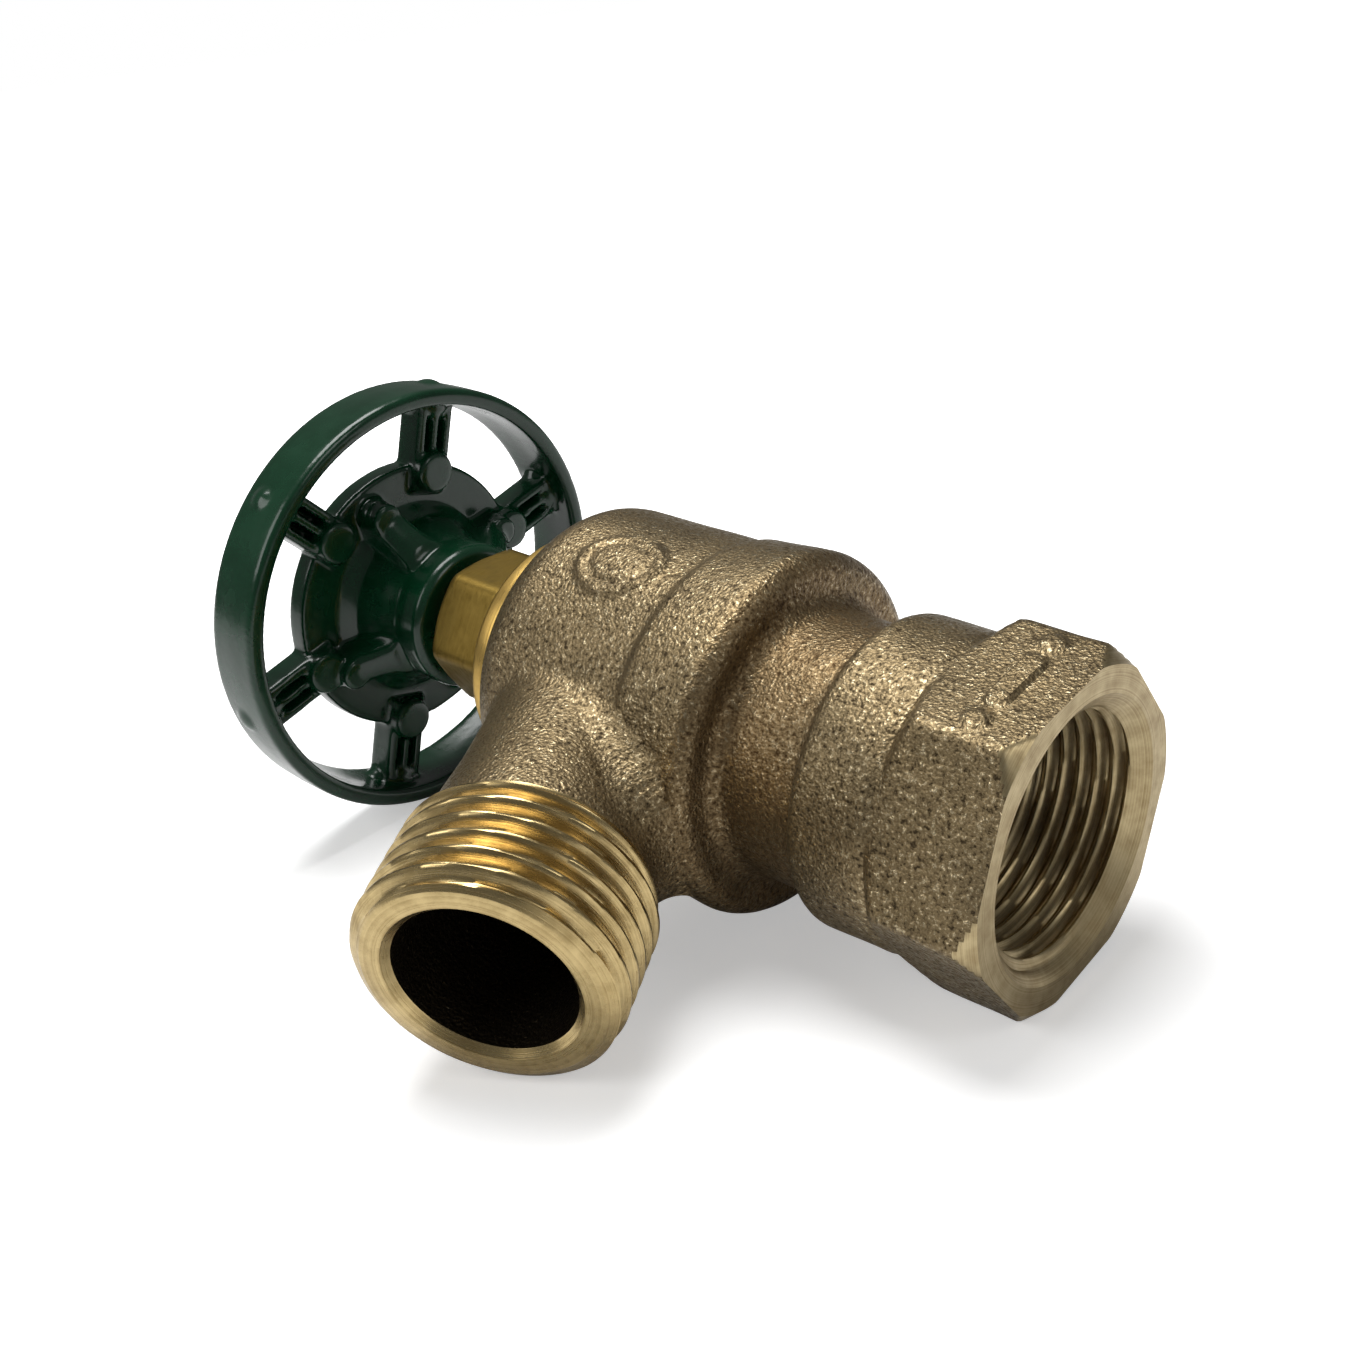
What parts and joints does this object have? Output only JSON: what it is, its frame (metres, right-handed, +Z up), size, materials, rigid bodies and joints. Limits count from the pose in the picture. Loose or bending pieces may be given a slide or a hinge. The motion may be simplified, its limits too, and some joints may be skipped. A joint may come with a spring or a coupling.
{
  "type": "angle globe valve",
  "caption": "Bronze angle globe valve with a threaded inlet in line with the stem, a dipped hose-thread outlet and a green spoked handwheel.",
  "frame": {"origin": "centre of the inlet end face, where the supply pipe screws in", "axes": "+Z up the stem towards the handwheel, outlet towards -Y and dipping below the horizontal"},
  "size_m": [0.0532, 0.0743, 0.1024],
  "materials": {
    "cast_bronze": "as cast, sand texture; threads and end faces turned bright",
    "bonnet_brass": "turned",
    "gasket_fibre": "pressed fibre sheet",
    "inner_brass": "turned",
    "packing_graphite": "pressed graphite yarn",
    "nut_brass": "dull brass with softened corners",
    "disc_rubber": "matte",
    "wheel_paint": "glossy green enamel",
    "zinc_steel": "zinc plated"
  },
  "bodies": {
    "casing": {"valve_body": "cast_bronze", "bonnet": "bonnet_brass", "bonnet_gasket": "gasket_fibre", "packing_washer": "inner_brass", "packing_ring_1": "packing_graphite", "packing_ring_2": "packing_graphite", "packing_gland": "inner_brass", "packing_nut": "nut_brass"},
    "disc": {"disc_holder": "inner_brass", "disc_holder_nut": "inner_brass", "seat_disc": "disc_rubber", "disc_washer": "inner_brass", "disc_screw": "zinc_steel"},
    "stem": {"stem": "inner_brass", "handwheel": "wheel_paint", "wheel_washer": "zinc_steel", "wheel_screw": "zinc_steel"}
  },
  "joints": [
    {"name": "stem_lift", "type": "slide", "parent": "casing", "child": "disc", "axis": [0, 0, 1], "range_m": [0, 0.0066]},
    {"name": "stem_turn", "type": "hinge", "parent": "disc", "child": "stem", "pos_m": [0, 0, 0.044], "axis": [0, 0, 1], "range_deg": [0, 1080]}
  ],
  "couplings": [
    {"joint": "stem_lift", "follows": "stem_turn", "m_per_rad": 0.00035014}
  ]
}
